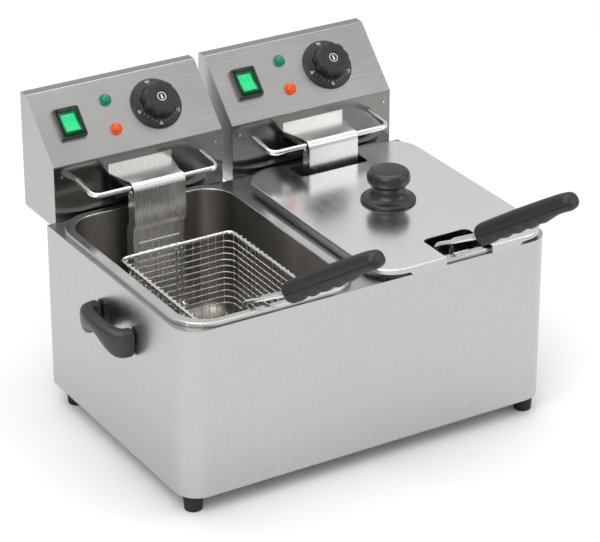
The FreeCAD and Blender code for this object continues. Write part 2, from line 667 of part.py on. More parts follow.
def make_sensor(name, x):
    """Thermostat bulb above the element, with its capillary up behind the bracket."""
    leg_y = HEAD_Y - ELEMENT_LEG - 4
    z = ELEMENT_Z + 9
    bulb = rod((x + SENSOR_X, leg_y - 130, z), (0, 1, 0), 3.0, 90)
    sx = x + SENSOR_X
    line = bent_rod([(sx, leg_y - 45, z), (sx, leg_y, z), (sx, leg_y, TERMINAL_Z),
                     (sx, HEAD_Y + 20, TERMINAL_Z)], 1.1, 8)
    keep("thermostat_bulb_" + name, bulb.fuse(line))


# Baskets

def make_basket(name):
    """Wire frame, mesh bucket, stem wires and moulded grip of one basket."""
    x, z = BASKETS[name]
    y0 = BASKET_FRONT_Y
    y1 = y0 + BASKET_D
    w = BASKET_W / 2
    inset = FRAME_WIRE_R
    ring = [(x, y0 + inset, z), (x + w - inset, y0 + inset, z), (x + w - inset, y1 - inset, z),
            (x - w + inset, y1 - inset, z), (x - w + inset, y0 + inset, z), (x, y0 + inset, z)]
    frame = bent_rod(ring, FRAME_WIRE_R, 7)
    keep("basket_frame_" + name, frame)
    wall = MESH_WALL
    m = 2 * FRAME_WIRE_R
    bucket = rounded_block(x - w + m, x + w - m, y0 + m, y1 - m, z - BASKET_H, z,
                           MESH_R, MESH_BOTTOM_R)
    hollow = rounded_block(x - w + m + wall, x + w - m - wall, y0 + m + wall, y1 - m - wall,
                           z - BASKET_H + wall, z + 5, MESH_R - wall, MESH_BOTTOM_R - wall)
    keep("basket_mesh_" + name, bucket.cut(hollow))
    make_handle(name, x, z)


def grip_frame(x, z):
    """Root point and unit direction of a basket's grip."""
    swing = math.radians(GRIP_SWING)
    rise = math.radians(GRIP_RISE)
    along = Vector(math.sin(swing) * math.cos(rise), -math.cos(swing) * math.cos(rise),
                   math.sin(rise))
    return Vector(x + 3, FRONT_Y - 12, z + 38), along


def make_handle(name, x, z):
    """Two stem wires welded to the basket's front, running up into the grip."""
    root, along = grip_frame(x, z)
    across = along.cross(Vector(0, 0, 1)).normalize()
    wires = []
    for start_x, spread in ((x - 25, -STEM_SPREAD), (x - 6, STEM_SPREAD)):
        y = BASKET_FRONT_Y - STEM_WIRE_R
        entry = root - across * spread
        inside = entry + along * 30
        points = [(start_x, y, z - STEM_DROP), (start_x, y, z + STEM_RISE), tuple(entry - along * 3),
                  tuple(inside)]
        wires.append(bent_rod(points, STEM_WIRE_R, 7))
    keep("handle_stem_" + name, *wires)
    keep("handle_grip_" + name, make_grip(root, along, across, wires))


def make_grip(root, along, across, wires):
    """Moulded grip: swelling oval sections along the stem, finger grooves underneath."""
    over = across.cross(along).normalize()
    sections = []
    for share, wide, tall, lift in GRIP_SECTIONS:
        centre = root + along * (GRIP_L * share) + over * lift
        ring = []
        for step in range(GRIP_SIDES):
            angle = 2 * math.pi * step / GRIP_SIDES
            ring.append(centre + across * (wide * math.cos(angle)) + over * (tall * math.sin(angle)))
        curve = Part.BSplineCurve()
        curve.interpolate(ring, PeriodicFlag=True)
        sections.append(Part.Wire(curve.toShape()))
    grip = Part.makeLoft(sections, True, False)
    for finger in range(FINGERS):
        spot = root + along * (36 + FINGER_PITCH * finger) - over * 20
        grip = grip.cut(Part.makeCylinder(FINGER_R, 40, spot - across * 20, across))
    for wire in wires:
        grip = grip.cut(wire)
    return grip.removeSplitter()


# Lid

def make_lid():
    """Flat lid with hemmed edge, notch for the basket stem and slot for the bracket."""
    x0 = LID_X - LID_W / 2
    x1 = LID_X + LID_W / 2
    top = rounded_block(x0, x1, LID_FRONT_Y, LID_BACK_Y, LID_HEM_Z, LID_TOP_Z, LID_R)
    top = top.makeFillet(1.4, [e for e in top.Edges if e.BoundBox.ZMin > LID_TOP_Z - 0.01])
    under = rounded_block(x0 + SHEET, x1 - SHEET, LID_FRONT_Y + SHEET, LID_BACK_Y - SHEET,
                          LID_HEM_Z - 1, LID_TOP_Z - SHEET, LID_R - SHEET)
    lid = top.cut(under)
    for fx0, fx1, lean0, lean1 in ((x0 + LID_R + 1, NOTCH_X[0], 9.0, 0.0),
                                   (NOTCH_X[1], x1 - LID_R - 1, 0.0, 9.0)):
        flange = polygon_prism([(fx0, LID_FRONT_Y, LID_TOP_Z - 2), (fx1, LID_FRONT_Y, LID_TOP_Z - 2),
                                (fx1 - lean1, LID_FRONT_Y, LID_FLANGE_Z),
                                (fx0 + lean0, LID_FRONT_Y, LID_FLANGE_Z)], (0, SHEET, 0))
        lid = lid.fuse(flange)
    notch = block(NOTCH_X[0], NOTCH_X[1], LID_FRONT_Y - 5, LID_FRONT_Y + NOTCH_D, 0, 400)
    corners = [e for e in notch.Edges if e.BoundBox.ZLength > 10
               and e.CenterOfMass.y > LID_FRONT_Y + 10]
    notch = notch.makeFillet(7.0, corners)
    slot = block(SLOT_X[0], SLOT_X[1], SLOT_FRONT_Y, LID_BACK_Y + 5, 0, 400)
    corners = [e for e in slot.Edges if e.BoundBox.ZLength > 10
               and e.CenterOfMass.y < SLOT_FRONT_Y + 1]
    slot = slot.makeFillet(5.0, corners)
    lid = lid.cut(notch).cut(slot)
    kx, ky = LID_KNOB_AT
    lid = lid.cut(rod((kx, ky, LID_TOP_Z - 5), (0, 0, 1), 2.6, 10))
    keep("lid", lid.removeSplitter())
    knob = turned([(0, 0), (28.5, 0), (29.9, 1.2), (29.9, 2.7), (28.5, 3.9), (23, 5.8), (19.8, 8.7),
                   (18.3, 12.5), (18.3, 18.3), (19.8, 20.2), (22.6, 22.6), (23.1, 26), (22.6, 30.8),
                   (20.7, 33.7), (16.4, 35.6), (9.6, 36.6), (0, 36.6)], (kx, ky, LID_TOP_Z))
    knob = knob.cut(rod((kx, ky, LID_TOP_Z - 1), (0, 0, 1), 2.2, 16))
    keep("lid_knob", knob)
    keep("lid_knob_screw", pan_head_screw((kx, ky, LID_TOP_Z - SHEET), (0, 0, -1),
                                          2.1, SHEET + 13, 4.2, 2.2))


inside = make_shell()
make_deck(inside)
make_base(inside)
make_rear_panel()
make_feet()
make_side_handles()
for side_name, side_sign in SIDES.items():
    head_x = side_sign * HEAD_X
    make_tank(side_name, side_sign)
    make_housing(side_name, head_x)
    make_rear_cover(side_name, head_x)
    make_switch(side_name, head_x)
    make_lamp("lamp_green_" + side_name, head_x, LAMP_GREEN_AT)
    make_lamp("lamp_orange_" + side_name, head_x, LAMP_ORANGE_AT)
    make_dial(side_name, head_x)
    make_terminal_block(side_name, head_x)
    make_bracket(side_name, head_x)
    make_basket_rest(side_name, head_x)
    make_element(side_name, head_x)
    make_sensor(side_name, head_x)
    make_basket(side_name)
make_lid()

os.makedirs("parts", exist_ok=True)
for node, shape in NODES.items():
    shape.exportStep("parts/" + node + ".step")
    if not shape.isValid() or shape.Volume <= 0 or not shape.Solids:
        print("check", node, shape.isValid(), shape.Volume, len(shape.Solids))
whole = Part.makeCompound(list(NODES.values())).BoundBox
print(len(NODES), "nodes", whole)
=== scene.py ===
import json
import math

import bpy
from mathutils import Matrix, Vector


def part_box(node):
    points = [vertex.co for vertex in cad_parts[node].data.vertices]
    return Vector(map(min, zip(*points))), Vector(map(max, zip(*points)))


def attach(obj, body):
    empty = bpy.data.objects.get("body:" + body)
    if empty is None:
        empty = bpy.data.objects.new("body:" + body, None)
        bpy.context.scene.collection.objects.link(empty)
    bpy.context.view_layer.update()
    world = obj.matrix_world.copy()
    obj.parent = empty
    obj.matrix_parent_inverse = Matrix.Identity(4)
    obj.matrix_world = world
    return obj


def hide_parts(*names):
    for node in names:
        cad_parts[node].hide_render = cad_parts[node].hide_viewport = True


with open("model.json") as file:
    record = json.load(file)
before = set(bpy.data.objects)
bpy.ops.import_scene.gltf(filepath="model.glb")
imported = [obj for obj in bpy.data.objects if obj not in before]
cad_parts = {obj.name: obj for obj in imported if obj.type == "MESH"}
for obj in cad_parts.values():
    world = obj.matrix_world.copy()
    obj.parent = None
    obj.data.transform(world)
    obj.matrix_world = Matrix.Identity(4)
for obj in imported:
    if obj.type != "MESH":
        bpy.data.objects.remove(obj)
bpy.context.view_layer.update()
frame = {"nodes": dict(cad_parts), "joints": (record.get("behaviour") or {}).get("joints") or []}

# Twin-tank countertop deep fryer: materials, wire baskets, moulded grips and small trim around
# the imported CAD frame. Metres, +X right, +Y back, +Z up.

MM = 0.001
SIDES = ("left", "right")
JOINTS = {joint["name"]: joint for joint in frame["joints"]}

SHELL_LO, SHELL_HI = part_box("outer_shell")
FRONT_Y = SHELL_LO.y

# Camera: where it looks, and the angles and lens of the view
CAMERA_TARGET = Vector((0.0023, FRONT_Y + 0.150, 0.1597))
CAMERA_AZIMUTH = 31.1
CAMERA_ELEVATION = 26.2
CAMERA_DISTANCE = 2.9133
CAMERA_LENS = 165.3

# Brushed sheet: size of its grain and of its clouds, and the relief of a fine surface
GRAIN_SCALE = 1700.0
CLOUD_SCALE = 7.0
FINE_RELIEF = 0.2 * MM
WAVY_RELIEF = 0.3 * MM

# Lenses and the lit window of the rocker (half width and half height, with a soft edge)
RIB_SCALE = 420.0
WINDOW_HALF_X = 7.6 * MM
WINDOW_HALF_Y = 9.8 * MM
WINDOW_SOFT = 0.6 * MM
LAMP_GLOW = 0.12

# Wire baskets
RING_PITCH = 7.3 * MM
UPRIGHT_PITCH = 9.0 * MM
RING_WIRE_R = 0.62 * MM
UPRIGHT_WIRE_R = 0.5 * MM
MESH_CORNER_R = 14 * MM
MESH_FLOOR_R = 10 * MM
RAIL_WIRE_R = 2.2 * MM
STIFFENER_HALF = 3.2 * MM
STIFFENER_WIRE_R = 1.1 * MM

# Moulded grips
GRIP_L = 131 * MM
GRIP_SWING = math.radians(22.5)
GRIP_RISE = math.radians(32)
GRIP_ROOT = Vector((3, -12, 38)) * MM
FINGERS = 4
FINGER_PITCH = 18 * MM
FIRST_FINGER = 27 * MM
FINGER_DENT = 1.5 * MM
GRIP_SIDES = 60
GRIP_ROWS = 110
GRIP_ROOT_ROUND = 9 * MM
GRIP_TIP_ROUND = 7 * MM
GRIP_SQUARENESS = 2.5
SEAM_HALF = math.radians(1.2)
SEAM_DEPTH = 0.7 * MM

# Thermostat knobs
KNOB_R = 20.3 * MM
KNOB_H = 20 * MM
KNOB_BASE = 5 * MM
KNOB_LOBES = 9
LOBE_DEPTH = 1.5 * MM
SPINDLE_R = 2.95 * MM
SPINDLE_FOOT = -7.9 * MM
EMBLEM_R = 4.6 * MM
PANEL_DIAL_RISE = 32.3 * MM

# Scale on a dial's skirt, in degrees from local +X, and its dots and numbers
SCALE_NUMBERS = ("60", "90", "120", "150", "190")
SCALE_DOTS = 5
SCALE_START = 195
SCALE_SWEEP = 260
DOT_AT = Vector((22.4, 0, 4.8)) * MM
NUMBER_AT = Vector((25.2, 0, 4.4)) * MM
NUMBER_SIZE = 3.8 * MM
SKIRT_SLOPE = math.radians(8)

# Marks on the two halves of a rocker
ROCKER_REST_TILT = math.radians(-8)
ROCKER_LEAN = math.atan2(1.6, 12.5)
ROCKER_MARK_AT = 6.4 * MM
ROCKER_MARK_RISE = 3.9 * MM

# Lid knob, side handles and screws
LID_KNOB_DRAWN_H = 38
HANDLE_BAR = 16 * MM
HANDLE_ROWS = 72
SCREW_STEPS = 48
SCREW_CROSS = 0.13

# Studio
FLOOR_REACH = 30.0
SKY_STRENGTH = 0.95
SKY_STOPS = ((0.0, 0.62), (0.18, 0.30), (0.42, 0.80), (0.75, 0.66), (1.0, 0.9))
SOFT_BOXES = (
    ("key", (-1.6, -1.2, 2.4), (0, 0, 0.15), (2.0, 2.0), 42),
    ("fill", (2.2, -1.4, 1.6), (0, 0, 0.15), (1.6, 1.6), 14),
    ("top", (0.3, 0.6, 2.6), (0, 0.05, 0.2), (2.4, 1.6), 26),
)


# Shapes

class Shape:
    """Collects points and faces and turns them into one object."""

    def __init__(self):
        self.points = []
        self.faces = []

    def add(self, points, faces):
        first = len(self.points)
        self.points += [Vector(p) for p in points]
        self.faces += [tuple(first + i for i in face) for face in faces]

    def skin(self, rings, closed=False, caps=True):
        """Quads between rings of equal length, with flat ends unless the row is closed."""
        count = len(rings[0])
        faces = []
        rows = len(rings) if closed else len(rings) - 1
        for row in range(rows):
            a = row * count
            b = (row + 1) % len(rings) * count
            for i in range(count):
                j = (i + 1) % count
                faces.append((a + i, a + j, b + j, b + i))
        if caps and not closed:
            faces.append(tuple(range(count - 1, -1, -1)))
            last = (len(rings) - 1) * count
            faces.append(tuple(range(last, last + count)))
        self.add([p for ring in rings for p in ring], faces)

    def tube(self, path, radius, sides=8, closed=False):
        """Round wire along a row of points."""
        path = [Vector(p) for p in path]
        count = len(path)
        tangents = []
        for i in range(count):
            before = path[i - 1] if closed or i else path[0]
            after = path[(i + 1) % count] if closed or i < count - 1 else path[-1]
            tangents.append((after - before).normalized())
        side = tangents[0].orthogonal().normalized()
        rings = []
        for i in range(count):
            if i:
                side = tangents[i - 1].rotation_difference(tangents[i]) @ side
            up = tangents[i].cross(side)
            ring = []
            for k in range(sides):
                angle = 2 * math.pi * k / sides
                ring.append(path[i] + (side * math.cos(angle) + up * math.sin(angle)) * radius)
            rings.append(ring)
        self.skin(rings, closed)

    def lathe(self, profile, steps=64, place=Matrix.Identity(4), wave=None):
        """Turned shape about local +Z from radius and height pairs; wave changes a radius."""
        rings = []
        for r, z in profile:
            ring = []
            for k in range(steps):
                angle = 2 * math.pi * k / steps
                reach = wave(r, z, angle) if wave else r
                spot = Vector((reach * math.cos(angle), reach * math.sin(angle), z))
                ring.append(place @ spot)
            rings.append(ring)
        self.skin(rings)

    def prism(self, outline, low, high, place=Matrix.Identity(4)):
        """Flat outline in local X and Y, thickened from low to high."""
        rings = [[place @ Vector((x, y, z)) for x, y in outline] for z in (low, high)]
        self.skin(rings)

    def make(self, name, material, body, replaced=(), sharp=40):
        """Builds the object, smooth except at sharp edges, and puts it on its body."""
        mesh = bpy.data.meshes.new(name)
        mesh.from_pydata(self.points, [], self.faces)
        mesh.validate()
        mesh.materials.append(material)
        mesh.shade_smooth()
        mesh.set_sharp_from_angle(angle=math.radians(sharp))
        piece = bpy.data.objects.new(name, mesh)
        bpy.context.scene.collection.objects.link(piece)
        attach(piece, body)
        if replaced:
            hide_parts(*replaced)
        return piece


def rounded_path(points, radius, steps=5, closed=False):
    """Points with each corner turned into an arc."""
    points = [Vector(p) for p in points]
    count = len(points)
    path = [] if closed else [points[0]]
    corners = range(count) if closed else range(1, count - 1)
    for i in corners:
        corner = points[i]
        a = (points[i - 1] - corner).normalized()
        b = (points[(i + 1) % count] - corner).normalized()
        half = a.angle(b) / 2
        back = radius / math.tan(half)
        centre = corner + (a + b).normalized() * (radius / math.sin(half))
        first = corner + a * back - centre
        last = corner + b * back - centre
        turn = first.rotation_difference(last)
        for step in range(steps + 1):
            axis, angle = turn.to_axis_angle()
            part = Matrix.Rotation(angle * step / steps, 3, axis)
            path.append(centre + part @ first)
    if not closed:
        path.append(points[-1])
    return path


def smooth_profile(profile, steps=5):
    """Catmull-Rom curve through radius and height pairs."""
    row = [Vector(p) for p in profile]
    row = [row[0]] + row + [row[-1]]
    curve = []
    for a, b, c, d in zip(row, row[1:], row[2:], row[3:]):
        for step in range(steps):
            t = step / steps
            spot = b * 2 + (c - a) * t + (a * 2 - b * 5 + c * 4 - d) * t * t
            spot += (b * 3 - a - c * 3 + d) * t * t * t
            curve.append((spot / 2).to_tuple())
    curve.append(row[-1].to_tuple())
    return curve


def islands(node):
    """Lowest and highest corner of every separate solid of a CAD node."""
    mesh = frame["nodes"][node].data
    parent = list(range(len(mesh.vertices)))

    def root(i):
        while parent[i] != i:
            parent[i] = parent[parent[i]]
            i = parent[i]
        return i

    seen = {}
    for vertex in mesh.vertices:
        key = tuple(round(c, 6) for c in vertex.co)
        parent[vertex.index] = seen.setdefault(key, vertex.index)
    for edge in mesh.edges:
        parent[root(edge.vertices[0])] = root(edge.vertices[1])
    groups = {}
    for vertex in mesh.vertices:
        groups.setdefault(root(vertex.index), []).append(vertex.co)
    boxes = []
    for group in groups.values():
        low = Vector([min(p[i] for p in group) for i in range(3)])
        high = Vector([max(p[i] for p in group) for i in range(3)])
        boxes.append((low, high))
    return boxes


# Materials

class Paint:
    """A node material with a few helpers for building it."""

    def __init__(self, name, **settings):
        self.material = bpy.data.materials.new(name)
        self.material.use_nodes = True
        self.tree = self.material.node_tree
        self.shader = self.tree.nodes["Principled BSDF"]
        for socket, value in settings.items():
            self.shader.inputs[socket.replace("_", " ")].default_value = value

    def node(self, kind, inputs=(), **settings):
        node = self.tree.nodes.new(kind)
        for key, value in settings.items():
            setattr(node, key, value)
        for key, value in dict(inputs).items():
            if isinstance(value, bpy.types.NodeSocket):
                self.tree.links.new(value, node.inputs[key])
            else:
                node.inputs[key].default_value = value
        return node

    def coordinates(self, scale=(1, 1, 1)):
        place = self.node("ShaderNodeTexCoord").outputs["Object"]
        return self.node("ShaderNodeMapping", {"Vector": place, "Scale": scale}).outputs[0]

    def noise(self, scale, detail=3.0, stretch=(1, 1, 1), rough=0.5):
        inputs = {"Vector": self.coordinates(stretch), "Scale": scale, "Detail": detail,
                  "Roughness": rough}
        return self.node("ShaderNodeTexNoise", inputs).outputs["Fac"]

    def between(self, value, low, high, to_low=0.0, to_high=1.0):
        inputs = {"Value": value, "From Min": low, "From Max": high, "To Min": to_low,
                  "To Max": to_high}
        return self.node("ShaderNodeMapRange", inputs).outputs[0]

    def maths(self, operation, a, b):
        return self.node("ShaderNodeMath", {0: a, 1: b}, operation=operation).outputs[0]

    def blend(self, factor, low, high):
        node = self.node("ShaderNodeMix", data_type="RGBA")
        for socket, value in ((node.inputs[0], factor), (node.inputs[6], low),
                              (node.inputs[7], high)):
            if isinstance(value, bpy.types.NodeSocket):
                self.tree.links.new(value, socket)
            else:
                socket.default_value = value
        return node.outputs[2]

    def bump(self, height, strength, distance):
        inputs = {"Height": height, "Strength": strength, "Distance": distance}
        return self.node("ShaderNodeBump", inputs).outputs[0]

    def to(self, socket, value):
        self.tree.links.new(value, self.shader.inputs[socket])
        return self


def shade(colour, factor):
    """Colour made lighter or darker, with its alpha."""
    return tuple(min(1.0, c * factor) for c in colour[:3]) + (1.0,)


def steel(name, colour, roughness, grain=(1, 1, 0.012), streak=0.02, cloud=0.025, bump=0.012):
    """Stainless sheet with a brushed grain along the axis whose stretch is small."""
    paint = Paint(name, Metallic=1.0)
    fine = paint.noise(GRAIN_SCALE, 3.0, grain, 0.6)
    broad = paint.noise(CLOUD_SCALE, 3.0)
    base = paint.blend(paint.between(fine, 0.3, 0.7), shade(colour, 1 - streak),
                       shade(colour, 1 + streak))
    veil = paint.blend(paint.between(broad, 0.35, 0.65), shade(colour, 1 - cloud),
                       shade(colour, 1 + cloud))
    paint.to("Base Color", paint.blend(0.5, base, veil))
    uneven = paint.maths("ADD", paint.between(fine, 0.3, 0.7, -0.04, 0.04),
                         paint.between(broad, 0.35, 0.65, roughness - 0.03, roughness + 0.03))
    paint.to("Roughness", uneven)
    paint.to("Normal", paint.bump(fine, bump, FINE_RELIEF))
    return paint


def plain_steel(*args, **settings):
    return steel(*args, **settings).material


def tank_steel(name, side):
    """Bright polished rim, and a satin drawn inside that is darker, in blotches."""
    low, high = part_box("tank_" + side)
    paint = steel(name, (0.66, 0.65, 0.64), 0.2, grain=(1, 1, 0.02), streak=0.04)
    place = paint.node("ShaderNodeSeparateXYZ", {"Vector": paint.coordinates()})
    middle = (low.x + high.x) / 2
    across = paint.maths("ABSOLUTE", paint.maths("SUBTRACT", place.outputs[0], middle), 0.0)
    depth = paint.between(place.outputs[2], high.z - 2.4 * MM, high.z - 1.0 * MM, 1.0, 0.0)
    half = (high.x - low.x) / 2
    within = paint.between(across, half - 10 * MM, half - 9.5 * MM, 1.0, 0.0)
    inside = paint.maths("MULTIPLY", depth, within)
    bright = paint.shader.inputs["Base Color"].links[0].from_socket
    # Below the rim the inside of the tank is coloured darker, in blotches
    inside_blotches = paint.noise(26.0, 4.0, (1, 1, 0.3))
    dark = paint.blend(paint.between(inside_blotches, 0.3, 0.7), (0.34, 0.325, 0.30, 1),
                       (0.48, 0.46, 0.43, 1))
    paint.to("Base Color", paint.blend(inside, bright, dark))
    smooth = paint.shader.inputs["Roughness"].links[0].from_socket
    rough = paint.maths("ADD", smooth, paint.maths("MULTIPLY", inside, 0.16))
    paint.to("Roughness", rough)
    return paint.material


def head_steel(name):
    """Satin brushed panel above, and a mirror-like lower face whose colour is darkened as painted
    shade; the top face is painted darker too, as painted shade.
    """
    low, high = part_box("head_housing_left")
    paint = steel(name, (0.46, 0.455, 0.44), 0.30, grain=(0.012, 1, 1), streak=0.03)
    place = paint.node("ShaderNodeSeparateXYZ", {"Vector": paint.coordinates()})
    panel_z = JOINTS["knob_left_turn"]["pos_m"][2] - PANEL_DIAL_RISE
    below = paint.between(place.outputs[2], panel_z, panel_z + 1 * MM, 1.0, 0.0)
    front = paint.between(place.outputs[1], low.y + 0.5 * MM, low.y + 1.5 * MM, 1.0, 0.0)
    # Polished lower front face: smoother, and its colour darkened as painted shade
    polished = paint.maths("MULTIPLY", below, front)
    # Painted shade: the top face is coloured darker than the panel
    crown = paint.between(place.outputs[2], high.z - 1.5 * MM, high.z - 0.8 * MM, 0.0, 1.0)
    base = paint.shader.inputs["Base Color"].links[0].from_socket
    lower_face_shaded = paint.blend(polished, base, (0.235, 0.23, 0.22, 1))
    paint.to("Base Color", paint.blend(crown, lower_face_shaded, (0.40, 0.40, 0.40, 1)))
    satin = paint.shader.inputs["Roughness"].links[0].from_socket
    paint.to("Roughness", paint.maths("SUBTRACT", satin, paint.maths("MULTIPLY", polished, 0.13)))
    return paint.material


def lid_steel(name):
    """Satin top that mirrors softly, with hems and flanges made greyer by painted shade."""
    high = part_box("lid")[1]
    paint = steel(name, (0.86, 0.86, 0.865), 0.22, grain=(1, 0.012, 1))
    place = paint.node("ShaderNodeSeparateXYZ", {"Vector": paint.coordinates()})
    # Painted shade: everything below the top face, the hems and flanges, is coloured greyer
    edge = paint.between(place.outputs[2], high.z - 1.5 * MM, high.z - 0.9 * MM, 1.0, 0.0)
    base = paint.shader.inputs["Base Color"].links[0].from_socket
    paint.to("Base Color", paint.blend(edge, base, (0.50, 0.50, 0.50, 1)))
    return paint.material


def plastic(name, colour, roughness, scale=700.0, bump=0.12, wear=0.12):
    """Moulded plastic with a fine texture and slightly uneven gloss."""
    paint = Paint(name)
    fine = paint.noise(scale, 3.0)
    broad = paint.noise(22.0, 3.0)
    paint.to("Base Color", paint.blend(paint.between(broad, 0.3, 0.7), shade(colour, 1 - wear),
                                       shade(colour, 1 + wear)))
    paint.to("Roughness", paint.between(broad, 0.3, 0.7, roughness - 0.04, roughness + 0.05))
    paint.to("Normal", paint.bump(fine, bump, FINE_RELIEF))
    return paint.material


def chrome(name, colour, roughness):
    """Plated wire with slight waviness from drawing and plating."""
    paint = Paint(name, Metallic=1.0)
    wave = paint.noise(160.0, 2.0)
    paint.to("Base Color", paint.blend(paint.between(wave, 0.3, 0.7), shade(colour, 0.94),
                                       shade(colour, 1.04)))
    paint.to("Roughness", paint.between(wave, 0.3, 0.7, roughness - 0.02, roughness + 0.05))
    paint.to("Normal", paint.bump(wave, 0.06, WAVY_RELIEF))
    return paint.material


def lens(name, colour, glow, alpha=1.0, roughness=0.2):
    """Coloured lens, ribbed inside, that glows when lit."""
    paint = Paint(name, Roughness=roughness, Alpha=alpha)
    paint.shader.inputs["Emission Strength"].default_value = glow
    ribs = paint.noise(RIB_SCALE, 2.0)
    tone = paint.blend(paint.between(ribs, 0.35, 0.65), shade(colour, 0.82), shade(colour, 1.1))
    paint.to("Base Color", tone)
    paint.to("Emission Color", tone)
    paint.to("Normal", paint.bump(ribs, 0.05, WAVY_RELIEF))
    return paint.material


CASING = plain_steel("casing_brushed", (0.50, 0.492, 0.48), 0.27)
HEAD = head_steel("head_brushed")
LID = lid_steel("lid_satin")
BRACKET = plain_steel("bracket_brushed", (0.90, 0.89, 0.87), 0.27)
ELEMENT = plain_steel("element_tube", (0.32, 0.30, 0.28), 0.3, grain=(1, 1, 1), streak=0.15)
CHROME = chrome("chrome_wire", (0.82, 0.82, 0.81), 0.1)
MESH_WIRE = chrome("plated_mesh", (0.80, 0.79, 0.76), 0.2)
SCREW = chrome("zinc_screw", (0.62, 0.62, 0.61), 0.25)
GRIP = plastic("grip_phenolic", (0.012, 0.0125, 0.0135), 0.48)
# Painted light: the side handles' black is lighter than the other black phenolic, for the light
# they catch from the floor and the front left
LIT_HANDLE = plastic("handle_phenolic_lit", (0.026, 0.026, 0.027), 0.38)
KNOB = plastic("knob_black", (0.009, 0.009, 0.010), 0.42)
LID_KNOB = plastic("lid_knob_black", (0.018, 0.018, 0.019), 0.30, bump=0.05)
DIAL = plastic("dial_black", (0.014, 0.014, 0.016), 0.42)
GLAND = plastic("gland_nylon", (0.03, 0.03, 0.03), 0.5)
BEZEL = plastic("switch_black", (0.018, 0.018, 0.019), 0.28)
RUBBER = plastic("foot_rubber", (0.012, 0.012, 0.012), 0.8, scale=400.0, bump=0.3)
CERAMIC = plastic("terminal_ceramic", (0.75, 0.72, 0.66), 0.45, wear=0.05)
MARK = plastic("scale_white", (0.82, 0.82, 0.80), 0.5, wear=0.04)
THERMOSTAT = plain_steel("thermostat_can", (0.55, 0.55, 0.54), 0.35, grain=(1, 1, 1))
COPPER = plain_steel("capillary_copper", (0.72, 0.42, 0.28), 0.3, grain=(1, 1, 1))
COVER = lens("cover_green", (0.002, 0.10, 0.035), 0.0, alpha=0.20, roughness=0.12)
LAMP_GREEN = lens("lamp_teal", (0.001, 0.19, 0.12), LAMP_GLOW)
LAMP_ORANGE = lens("lamp_amber", (0.70, 0.07, 0.001), LAMP_GLOW)
ROCKER_MARK = plastic("rocker_mark", (0.6, 0.95, 0.72), 0.4, wear=0.03)

NODE_MATERIALS = {
    "outer_shell": CASING, "top_deck": CASING, "base_plate": CASING, "rear_panel": CASING,
    "foot_screws": SCREW, "handle_screws": SCREW, "feet": RUBBER,
    "head_housing": HEAD, "head_rear_cover": HEAD, "cable_gland": GLAND, "switch_bezel": BEZEL,
    "switch_cover": COVER, "lamp_green": LAMP_GREEN, "lamp_orange": LAMP_ORANGE,
    "dial_skirt": DIAL, "thermostat": THERMOSTAT,
    "terminal_block": CERAMIC, "element_bracket": BRACKET, "basket_rest": CHROME,
    "heating_element": ELEMENT, "thermostat_bulb": COPPER, "basket_frame": CHROME,
    "handle_stem": CHROME, "lid": LID, "lid_knob_screw": SCREW,
}


def lit_rocker(side):
    """Rocker with a bright lit window and a dark green border."""
    joint = JOINTS["rocker_%s_tilt" % side]
    axis = JOINTS["knob_%s_turn" % side]["axis"]
    tilt = math.atan2(axis[1], -axis[2])
    paint = Paint("rocker_lit_" + side, Roughness=0.35)
    inputs = {"Vector": paint.coordinates(), "Location": joint["pos_m"], "Rotation": (tilt, 0, 0)}
    local = paint.node("ShaderNodeMapping", inputs, vector_type="TEXTURE").outputs[0]
    place = paint.node("ShaderNodeSeparateXYZ", {"Vector": local})
    across = paint.maths("ABSOLUTE", place.outputs[0], 0.0)
    up = paint.maths("ABSOLUTE", place.outputs[1], 0.0)
    inside = paint.maths(
        "MULTIPLY",
        paint.between(across, WINDOW_HALF_X, WINDOW_HALF_X + WINDOW_SOFT, 1.0, 0.0),
        paint.between(up, WINDOW_HALF_Y, WINDOW_HALF_Y + WINDOW_SOFT, 1.0, 0.0))
    ribs = paint.noise(RIB_SCALE, 2.0)
    bright = paint.blend(paint.between(ribs, 0.35, 0.65), (0.004, 0.60, 0.19, 1),
                         (0.008, 0.70, 0.23, 1))
    tone = paint.blend(inside, (0.001, 0.09, 0.03, 1), bright)
    paint.to("Base Color", tone)
    paint.to("Emission Color", tone)
    paint.to("Emission Strength", paint.between(inside, 0.0, 1.0, 0.35, 0.95))
    return paint.material


def dress_cad_nodes():
    """Gives every CAD node that stays in view its own material."""
    own = {"tank_" + side: tank_steel("tank_drawn_" + side, side) for side in SIDES}
    own.update({"rocker_" + side: lit_rocker(side) for side in SIDES})
    for name, node in frame["nodes"].items():
        family = name.removesuffix("_left").removesuffix("_right")
        material = own.get(name) or NODE_MATERIALS.get(family)
        if material is None:
            continue
        if not node.material_slots:
            node.data.materials.append(material)
        for slot in node.material_slots:
            slot.material = material


# Wire baskets

def wall_inset(along, half):
    """How far a rounded upright corner pulls the wall in, at a distance from the middle."""
    past = abs(along) - (half - MESH_CORNER_R)
    if past <= 0:
        return 0.0
    return MESH_CORNER_R - math.sqrt(max(0.0, MESH_CORNER_R ** 2 - past ** 2))


def hooked_upright(edge, floor_z, rail_z, at, along_x, drop):
    """One mesh wire: over the frame wire, down a wall, across the floor and up again."""
    hook_r = RAIL_WIRE_R + UPRIGHT_WIRE_R
    rail = edge + hook_r
    points = []
    for angle in (20, 60, 100, 140, 180):
        turn = math.radians(angle)
        points.append((rail + hook_r * math.cos(turn), rail_z + hook_r * math.sin(turn)))
    half_path = [Vector((u, 0, z)) for u, z in points]
    bottom = floor_z + drop
    corner = [Vector((edge, 0, bottom)), Vector((0, 0, bottom))]
    down = rounded_path([half_path[-1]] + corner, MESH_FLOOR_R, 4)
    one = half_path[:-1] + down
    other = [Vector((-p.x, 0, p.z)) for p in reversed(one[:-1])]
    wire = []
    for p in one + other:
        wire.append(Vector((p.x, at, p.z)) if along_x else Vector((at, p.x, p.z)))
    return wire


